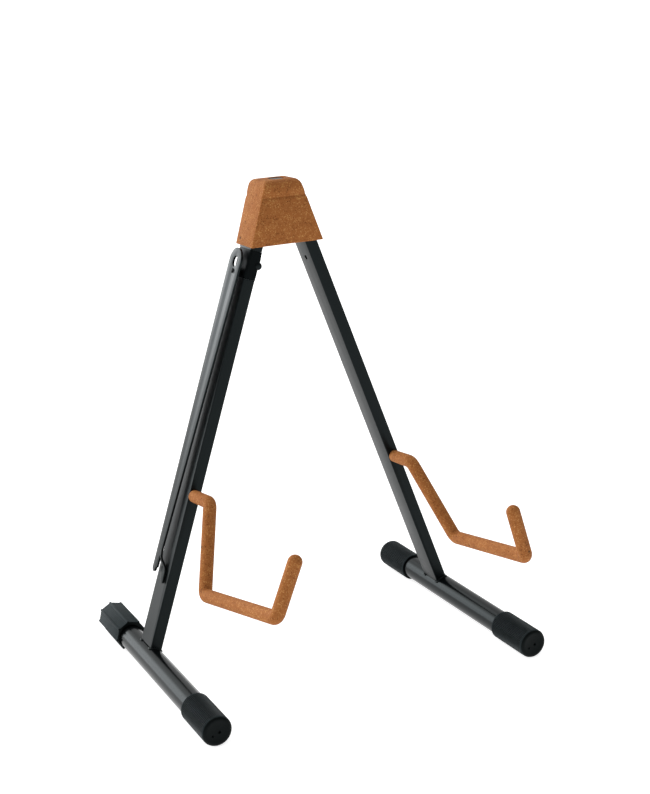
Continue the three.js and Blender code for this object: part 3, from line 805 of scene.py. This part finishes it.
def build_hinge():
    size = sizes()
    front, rear, half, wall = leg_section(size)
    pin = in_leg(LEFT, PIN)
    start = leg_top("left_leg") + KNUCKLE_GAP
    top = start + KNUCKLE_HEIGHT
    tongue_front, tongue_rear = front + 7.2, front + 14
    body = knuckle_body(size, start, top, pin)
    barrel = rod("barrel", BARREL_RADIUS, (pin.x, front, pin.z), (pin.x, rear, pin.z), 48)
    plug_half = half - wall - 0.4
    plug = block("plug", (-plug_half, front + wall + 0.4, start - 30),
                 (plug_half, rear - wall - 0.4, start + 1))
    join(body, barrel, plug)
    slot = block("slot", (-1.9, tongue_front - 0.3, pin.z - 4.4),
                 (pin.x + 9, tongue_rear + 0.3, top + 5))
    bore = rod("bore", PIN_HOLE_RADIUS, (pin.x, front - 5, pin.z), (pin.x, rear + 5, pin.z), 32)
    pivot = in_leg(LEFT, BAR_PIVOT)
    hole = rod("hole", PIN_HOLE_RADIUS, (-half - 5, pivot.y, pivot.z), (3, pivot.y, pivot.z), 32)
    cut(body, slot, bore, hole)
    soften(body, 0.35, 2, 40)
    set_down(body, leg_frame(LEFT), angle=30)
    register_piece(body, "left_side", finish("plastic"), ["hinge_knuckle"])

    bracket = rectangular_tube("bracket_stub", size, top + STUB_GAP, leg_top("hinge_bracket") - 0.3)
    tongue = block("tongue", (-1.3, tongue_front, pin.z), (half - 0.1, tongue_rear, top + 9))
    curl = rod("curl", BARREL_RADIUS, (pin.x, tongue_front, pin.z), (pin.x, tongue_rear, pin.z), 48)
    join(bracket, tongue, curl)
    holes = [rod("hole", PIN_HOLE_RADIUS, (pin.x, front, pin.z), (pin.x, rear, pin.z), 32)]
    for node in ("bracket_rivet_1", "bracket_rivet_2"):
        at = in_leg(LEFT, middle(node))
        holes.append(rod("hole", PIN_HOLE_RADIUS, (at.x, front - 2, at.z), (at.x, rear + 2, at.z), 32))
    cut(bracket, *holes)
    soften(bracket, 0.3, 2, 40)
    set_down(bracket, leg_frame(LEFT), angle=30)
    register_piece(bracket, "right_side", finish("paint"), ["hinge_bracket"])

    face, back = front - 0.3, rear + 0.3
    fold_pin = turned("fold_pin_turned", [
        (0, face - 0.9), (1.6, face - 0.9), (2.6, face - 0.6), (3, face - 0.1), (3, face), (2, face),
        (2, back), (3, back), (3, back + 0.1), (2.6, back + 0.6), (1.6, back + 0.9), (0, back + 0.9)], 32)
    set_down(fold_pin, leg_frame(LEFT) @ Matrix.Translation(Vector((pin.x, 0, pin.z)) * MM))
    register_piece(fold_pin, "left_side", finish("paint"), ["fold_pin"])


# ---- Locking bar --------------------------------------------------------------------------


# The hook at the bar's lower end, from its notch round to the back edge, as (y, up)
BAR_HOOK = [
    (43.6, 103), (43.6, 92.3), (44.1, 91.5), (45, 91.2), (45.9, 90.6), (46.5, 89.2),
    (46.9, 87.4), (47.7, 86.2),
    (49, 85.5), (50.6, 85.5), (52.1, 86.2), (53.2, 87.5), (53.7, 89.2),
]
# The claw beside it, as (y, up)
BAR_CLAW = [
    (46.6, 110), (42.1, 110), (41.2, 106.4), (40.1, 103.6), (38.6, 101.2), (36.4, 98.9),
    (34.2, 96.6), (32.6, 94.2),
    (31.6, 91.4), (31.1, 88), (30.9, 84), (30.5, 80.6), (30.9, 79.2), (32, 78.7), (34.2, 79.9), (37.4, 82.5),
    (40.1, 85.8), (41.8, 89.2), (42.7, 92.2), (43, 96), (43, 103.3), (46.6, 103.3),
]


def bar_outline(ear, radius, front_at, inner):
    """The bar's outline in the leg's frame, at one distance from the leg's centre."""
    count = 32
    sweep = 1.1 * math.pi
    turns = [sweep * k / count for k in range(count + 1)]
    points = [(ear.y + radius * math.cos(a), ear.z + radius * math.sin(a)) for a in turns]
    points += [(front_at(396), 396), (front_at(104), 104)] + BAR_HOOK
    return [(inner, y, z) for y, z in points]


def bar_claw(inner, near, thick):
    """The claw at the bar's lower end, bent in to lie along the leg's outer face."""
    step = near - inner
    bend_up, bend_down, count = 105, 93, 10
    outer = inner - thick
    line = [(0, 116)]
    for k in range(count + 1):
        share = k / count
        line.append((step * share ** 2 * (3 - 2 * share), bend_up + (bend_down - bend_up) * share))
    line.append((step, 70))
    section = [(outer + x, 20, z) for x, z in line] + [(inner + x, 20, z) for x, z in reversed(line)]
    claw = plate("claw", section, (0, 40, 0))
    side = plate("claw_side", [(outer - 1, y, z) for y, z in BAR_CLAW], (step + thick + 3, 0, 0))
    combine(claw, "INTERSECT", [side])
    return claw


def build_bar():
    size = sizes()
    _, _, half, _ = leg_section(size)
    pivot = in_leg(LEFT, BAR_PIVOT)
    ear = Vector((0, pivot.y + 0.4, pivot.z + 9.4))
    thick = size["bar_thickness"]
    inner = -(half + size["bar_standoff"])
    outer = inner - thick

    def front_at(up):
        return ear.y - 13.2 + 0.0534 * (400 - up)

    sheet = bar_outline(ear, size["ear_radius"], front_at, inner)
    bar = plate("locking_bar_sheet", sheet, (-thick, 0, 0))
    join(bar, bar_claw(inner, -half - 0.6, thick))
    through = rod("through", size["ear_hole"], (outer - 3, ear.y - 0.8, ear.z),
                  (inner + 3, ear.y - 0.8, ear.z), 64)
    rivet = rod("rivet", 2.3, (outer - 3, pivot.y, pivot.z), (inner + 3, pivot.y, pivot.z), 32)
    cut(bar, through, rivet)
    soften(bar, 0.35, 3, 40)
    set_down(bar, leg_frame(LEFT), angle=30)
    register_piece(bar, "lock_bar", finish("paint"), ["locking_bar"])

    seat = 0.3 - outer
    place = leg_frame(LEFT) @ Matrix.Translation(Vector((0, pivot.y, pivot.z)) * MM) @ Matrix.Rotation(
        math.pi / 2, 4, "Z")
    head = turned("bar_rivet_turned", [
        (0, -2), (2, -2), (2, seat), (2.6, seat), (2.6, seat + 0.15), (2.1, seat + 0.5),
        (1.2, seat + 0.7), (0, seat + 0.75)], 32)
    set_down(head, place)
    register_piece(head, "left_side", finish("plastic"), ["bar_rivet"])
    low, high = half + 0.3, -inner - 0.3
    collar = turned("bar_spacer_turned", [
        (2.3, low), (4.3, low), (4.5, low + 0.2), (4.5, high - 0.2), (4.3, high), (2.3, high), (2.3, low)], 40)
    set_down(collar, place)
    register_piece(collar, "left_side", finish("plastic"), ["bar_spacer"])


# ---- Head ---------------------------------------------------------------------------------

# How the head's faces draw in on the way up: height below the top, then how far the front and
# rear faces and the two sides stand in from their straight planes
HEAD_LEVELS = [
    (63.1, 0.0, 0.0), (19.5, 0.0, 0.0), (18.0, 0.5, 0.0), (16.6, 1.3, 0.0), (15.2, 1.2, 0.0),
    (13.2, 0.4, 0.0), (10.5, 0.0, 0.0), (8.0, 0.1, 0.0), (6.0, 0.35, 0.0), (4.4, 0.9, 0.1),
    (3.0, 1.8, 0.3), (1.9, 2.9, 0.7), (1.0, 4.2, 1.3), (0.35, 5.8, 2.1), (0.0, 7.8, 3.2),
]
# The head's left side stands steeper than the legs do
LEFT_SIDE_SLOPE = 0.303


def head_block(name, inset, levels):
    """A block with leaning sides, drawn up level by level."""
    low, high = reach("head_cork")
    centre = (low + high) / 2
    slopes = {LEFT: LEFT_SIDE_SLOPE, RIGHT: math.tan(LEAN)}
    first = True
    for below, face, side in levels:
        z = high.z - below if not first else low.z - (1 if inset else 0)
        left, right = (
            (high.x - low.x) / 2 - inset * math.hypot(1, slope) - (z - low.z) * slope - side
            for slope in (slopes[LEFT], slopes[RIGHT]))
        wide, mid = (left + right) / 2, centre.x + (right - left) / 2
        deep = (high.y - low.y) / 2 - inset - face
        corners = [(mid + sx * wide, centre.y + sy * deep, z)
                   for sx, sy in ((-1, -1), (1, -1), (1, 1), (-1, 1))]
        if first:
            piece = outline(name, corners, closed=True)
            first = False
        else:
            bpy.ops.mesh.extrude_region_move(
                TRANSFORM_OT_translate={"value": (mid * MM - last_mid, 0, z * MM - level)})
            bpy.ops.transform.resize(
                value=(wide / last_wide, deep / last_deep, 1),
                center_override=(mid * MM, centre.y * MM, z * MM))
        level, last_wide, last_deep, last_mid = z * MM, wide, deep, mid * MM
    bpy.ops.mesh.select_all(action="SELECT")
    bpy.ops.mesh.normals_make_consistent(inside=False)
    done()
    return piece


def build_head():
    size = sizes()
    low, high = reach("head_cork")
    head = head_block("cork_head", 0, HEAD_LEVELS)
    edit(head)

    def rises(edge):
        a, b = edge.verts[0].co, edge.verts[1].co
        return abs(a.z - b.z) > 0.3 * MM

    select("edges", rises)
    bpy.ops.mesh.bevel(offset=1.4 * MM, segments=4, affect="EDGES")
    select("edges", lambda e: max(v.co.z for v in e.verts) < (low.z + 0.1) * MM)
    bpy.ops.mesh.bevel(offset=0.9 * MM, segments=3, affect="EDGES")
    done()
    wall = size["cork_wall"]
    centre = middle("head_cork")
    pocket = head_block("pocket", wall, [(63.1, 0, 0), (6, 0, 0), (wall, 2, 1.5)])
    well = rod("well", size["badge_radius"] + 0.3, (centre.x, centre.y, high.z - 8),
               (centre.x, centre.y, high.z + 3), 72)
    cut(head, pocket, well)
    set_down(head, Matrix.Identity(4), angle=32)
    register_piece(head, "right_side", finish("cork"), ["head_cork"])

    radius = size["badge_radius"]
    top = reach("head_badge")[1].z
    base = reach("head_badge")[0].z
    badge = turned("head_insert", [
        (0, base), (radius, base), (radius, top - 0.6), (radius - 0.25, top - 0.15), (radius - 0.8, top),
        (radius - 1.4, top - 0.1), (radius - 2.2, top - 0.45), (0, top - 0.7)], 64)
    place = Matrix.Translation(Vector((centre.x, centre.y, 0)) * MM)
    set_down(badge, place @ Matrix.Rotation(math.pi / 2, 4, "X"))
    register_piece(badge, "right_side", finish("badge"), ["head_badge"])


# ---- Arms ---------------------------------------------------------------------------------

# Each run of an arm in millimetres, and the turn after it in degrees, upward positive
ARM_RUNS = [(40.2, -70.2), (90.4, 75.9), (149.8, 71.4), (54.0, 0.0)]
ARM_UP = 174.6
ARM_RISE = math.radians(6.3)


def arm_frame(side, size):
    front = leg_section(size)[0]
    at = Vector((foot_in_leg(side)[0], front, ARM_UP)) * MM
    return leg_frame(side) @ Matrix.Translation(at) @ Matrix.Rotation(-ARM_RISE, 4, "X")


def arm_path(size, steps=10):
    """Middle line of an arm in its own frame, from the leg's face to its last full section."""
    bend = size["arm_bend"]
    points = [Vector((0, -size["sleeve_radius"] * math.tan(ARM_RISE) - 0.3, 0))]
    corner = Vector((0, 0, 0))
    heading = 0.0
    for run, turn in ARM_RUNS:
        along = Vector((0, -math.cos(heading), math.sin(heading)))
        corner = corner + along * run
        if turn == 0:
            points.append(corner.copy())
            break
        turn = math.radians(turn)
        radius = math.copysign(bend, turn)
        centre = corner - along * bend * math.tan(abs(turn) / 2) + radius * Vector(
            (0, math.sin(heading), math.cos(heading)))
        for k in range(steps + 1):
            angle = heading + turn * k / steps
            points.append(centre - radius * Vector((0, math.sin(angle), math.cos(angle))))
        heading += turn
    return points, along


def cork_sleeve(name, size):
    """A cork sleeve along the arm's path, with a rounded tip."""
    path, along = arm_path(size)
    radius = size["sleeve_radius"]
    tip = path[-1]
    angles = [math.radians(a) for a in (12, 24, 36, 48, 60, 70, 79, 86, 89.5)]
    sleeve = outline(name, path + [tip + along * radius * math.sin(a) for a in angles])
    done()
    pick(sleeve)
    bpy.ops.object.convert(target="CURVE")
    curve = bpy.context.object.data
    curve.bevel_depth = radius * MM
    curve.bevel_resolution = 14
    curve.use_fill_caps = True
    points = curve.splines[0].points
    for point, angle in zip(points[len(path):], angles):
        point.radius = math.cos(angle)
    points[0].radius = 0.94
    bpy.ops.object.convert(target="MESH")
    return bpy.context.object


def build_arms():
    size = sizes()
    depth = size["leg_depth"] / math.cos(ARM_RISE)
    for name, side in SIDES.items():
        body = f"{name}_side"
        place = arm_frame(side, size)
        sleeve = cork_sleeve(f"{name}_cork_arm", size)
        set_down(sleeve, place, angle=45)
        register_piece(sleeve, body, finish("cork"), [f"{name}_arm_cork"])
        seat = depth + 1.9
        screw = turned(f"{name}_pan_screw", [
            (0, seat - 16), (2, seat - 16), (2, seat), (4.5, seat), (4.5, seat + 0.8), (4.2, seat + 1.8),
            (3.3, seat + 2.6), (1.8, seat + 3), (0, seat + 3)], 48)
        slots = [block("slot", (-2.6, seat + 1.2, -0.5), (2.6, seat + 4, 0.5)),
                 block("slot", (-0.5, seat + 1.2, -2.6), (0.5, seat + 4, 2.6))]
        cut(screw, *slots)
        set_down(screw, place)
        register_piece(screw, body, finish("zinc"), [f"{name}_arm_screw"])
        low = depth + 0.6
        washer = turned(f"{name}_flat_washer", [
            (2.3, low), (5.4, low), (5.6, low + 0.2), (5.6, low + 0.8), (5.4, low + 1), (2.3, low + 1),
            (2.3, low)], 48)
        set_down(washer, place)
        register_piece(washer, body, finish("zinc"), [f"{name}_arm_washer"])


# ---- Kept CAD pieces ----------------------------------------------------------------------


def finish_cad_pieces():
    """Gives the hidden or small CAD pieces that stay their finish."""
    kept = {"head_core": "plastic", "right_arm_rod": "zinc", "left_arm_rod": "zinc",
            "leg_rivet_1": "zinc", "leg_rivet_2": "zinc", "bracket_rivet_1": "zinc",
            "bracket_rivet_2": "zinc"}
    for node, key in kept.items():
        mesh = frame["nodes"][node].data
        mesh.materials.clear()
        mesh.materials.append(finish(key))


# ---- Stage --------------------------------------------------------------------------------


CAMERA_AT = (-0.58667, -1.24235, 0.65732)
CAMERA_FORWARD = Vector((0.41729, 0.868632, -0.267108))
CAMERA_RIGHT = Vector((0.894388, -0.444635, -0.048689))
CAMERA_LENS = 65.74
SKY_TOWARD = (-0.2, 0.75, 0.63)
SOFTBOX_TOWARD = (-0.49, 0.87, 0.05)


def build_stage():
    deselect()
    bpy.ops.mesh.primitive_plane_add(size=60)
    floor = named("studio_floor")
    white, *_ = new_finish("White studio floor", **{
        "Base Color": linear("#CCCCCC"), "Roughness": 0.9, "Specular IOR Level": 0.1,
        "Emission Color": (1, 1, 1, 1), "Emission Strength": 0.8})
    floor.data.materials.append(white)

    world = bpy.data.worlds.new("Soft studio")
    bpy.context.scene.world = world
    world.use_nodes = True
    tree = world.node_tree
    tree.nodes.clear()
    # Bright above and behind, darker towards the front, with a tall softbox far back on the left
    way = add(tree, "ShaderNodeTexCoord").outputs["Generated"]
    toward = add(tree, "ShaderNodeVectorMath", {"operation": "DOT_PRODUCT", 1: SKY_TOWARD}, {0: way})
    fall = ramp(add(tree, "ShaderNodeValToRGB", links={"Fac": toward.outputs["Value"]}),
                [(0.0, (0.3, 0.3, 0.3, 1)), (0.5, (0.8, 0.8, 0.8, 1)), (0.9, (1.1, 1.1, 1.1, 1))])
    aimed = add(tree, "ShaderNodeVectorMath",
                {"operation": "DOT_PRODUCT", 1: SOFTBOX_TOWARD}, {0: way})
    softbox = ramp(add(tree, "ShaderNodeValToRGB", links={"Fac": aimed.outputs["Value"]}),
                   [(0.86, (0, 0, 0, 1)), (0.93, (3.4, 3.5, 3.6, 1))])
    both = add(tree, "ShaderNodeMix", {"data_type": "RGBA", "blend_type": "ADD", 0: 1.0},
               {6: fall.outputs["Color"], 7: softbox.outputs["Color"]})
    sky = add(tree, "ShaderNodeBackground", {"Strength": 1.0}, {"Color": both.outputs[2]})
    # What the camera sees past the floor is plain white
    plain = add(tree, "ShaderNodeBackground", {"Color": (1, 1, 1, 1), "Strength": 1.3})
    seen = add(tree, "ShaderNodeLightPath").outputs["Is Camera Ray"]
    backdrop = add(tree, "ShaderNodeMixShader", links={0: seen, 1: sky.outputs[0], 2: plain.outputs[0]})
    add(tree, "ShaderNodeOutputWorld", links={"Surface": backdrop.outputs[0]})

    bpy.ops.object.light_add(
        type="SUN", location=(-1, 1, 3), rotation=(math.radians(-25), math.radians(-28), 0))
    sun = bpy.context.object
    sun.data.energy = 1.3
    sun.data.angle = math.radians(80)

    camera = bpy.data.objects.new("camera", bpy.data.cameras.new("camera"))
    bpy.context.scene.collection.objects.link(camera)
    up = CAMERA_RIGHT.cross(CAMERA_FORWARD)
    turn = Matrix((CAMERA_RIGHT, up, -CAMERA_FORWARD)).transposed().to_4x4()
    camera.matrix_world = Matrix.Translation(CAMERA_AT) @ turn
    camera.data.sensor_width = 36
    camera.data.lens = CAMERA_LENS
    camera.data.clip_end = 100
    bpy.context.scene.camera = camera
    bpy.context.scene.view_settings.view_transform = "Standard"


# ---- Operators and panel ------------------------------------------------------------------


class StandStep:
    """Shared by the operators: each builds its pieces in one go."""

    bl_options = {"REGISTER", "UNDO"}

    def execute(self, context):
        self.build()
        return {"FINISHED"}


class STAND_OT_feet(StandStep, bpy.types.Operator):
    """Build the two foot tubes"""

    bl_idname = "stand.feet"
    bl_label = "Foot tubes"
    build = staticmethod(build_feet)


class STAND_OT_round_caps(StandStep, bpy.types.Operator):
    """Build the three ribbed round caps"""

    bl_idname = "stand.round_caps"
    bl_label = "Ribbed caps"
    build = staticmethod(build_round_caps)


class STAND_OT_levelling_cap(StandStep, bpy.types.Operator):
    """Build the eight-ridged levelling cap"""

    bl_idname = "stand.levelling_cap"
    bl_label = "Levelling cap"
    build = staticmethod(build_levelling_cap)


class STAND_OT_legs(StandStep, bpy.types.Operator):
    """Build the two legs and their welds"""

    bl_idname = "stand.legs"
    bl_label = "Legs"
    build = staticmethod(build_legs)


class STAND_OT_hinge(StandStep, bpy.types.Operator):
    """Build the knuckle, bracket and pin of the fold hinge"""

    bl_idname = "stand.hinge"
    bl_label = "Fold hinge"
    build = staticmethod(build_hinge)


class STAND_OT_bar(StandStep, bpy.types.Operator):
    """Build the locking bar with its rivet and spacer"""

    bl_idname = "stand.bar"
    bl_label = "Locking bar"
    build = staticmethod(build_bar)


class STAND_OT_head(StandStep, bpy.types.Operator):
    """Build the cork head and its insert"""

    bl_idname = "stand.head"
    bl_label = "Cork head"
    build = staticmethod(build_head)


class STAND_OT_arms(StandStep, bpy.types.Operator):
    """Build the two cork arms with their screws and washers"""

    bl_idname = "stand.arms"
    bl_label = "Cork arms"
    build = staticmethod(build_arms)


class STAND_OT_kept(StandStep, bpy.types.Operator):
    """Give the CAD pieces that stay their finish"""

    bl_idname = "stand.kept"
    bl_label = "Kept pieces"
    build = staticmethod(finish_cad_pieces)


class STAND_OT_stage(StandStep, bpy.types.Operator):
    """Build the floor, the light and the camera"""

    bl_idname = "stand.stage"
    bl_label = "Studio stage"
    build = staticmethod(build_stage)


STEPS = (
    STAND_OT_stage, STAND_OT_feet, STAND_OT_round_caps, STAND_OT_levelling_cap, STAND_OT_legs,
    STAND_OT_hinge, STAND_OT_bar, STAND_OT_head, STAND_OT_arms, STAND_OT_kept,
)


class STAND_PT_panel(bpy.types.Panel):
    """Sizes, colours and building steps of the stand"""

    bl_idname = "STAND_PT_panel"
    bl_label = "Folding stand"
    bl_space_type = "VIEW_3D"
    bl_region_type = "UI"
    bl_category = "Stand"

    def draw(self, context):
        for group in (context.scene.stand_sizes, context.scene.stand_colours):
            box = self.layout.box()
            for name in group.__annotations__:
                box.prop(group, name)
        for step in STEPS:
            self.layout.operator(step.bl_idname)


CLASSES = (StandSizes, StandColours, *STEPS, STAND_PT_panel)


def register():
    for cls in CLASSES:
        bpy.utils.register_class(cls)
    bpy.types.Scene.stand_sizes = bpy.props.PointerProperty(type=StandSizes)
    bpy.types.Scene.stand_colours = bpy.props.PointerProperty(type=StandColours)


def unregister():
    del bpy.types.Scene.stand_sizes
    del bpy.types.Scene.stand_colours
    for cls in reversed(CLASSES):
        bpy.utils.unregister_class(cls)


def main():
    register()
    for step in STEPS:
        group, name = step.bl_idname.split(".")
        getattr(getattr(bpy.ops, group), name)()


if __name__ == "__main__":
    main()
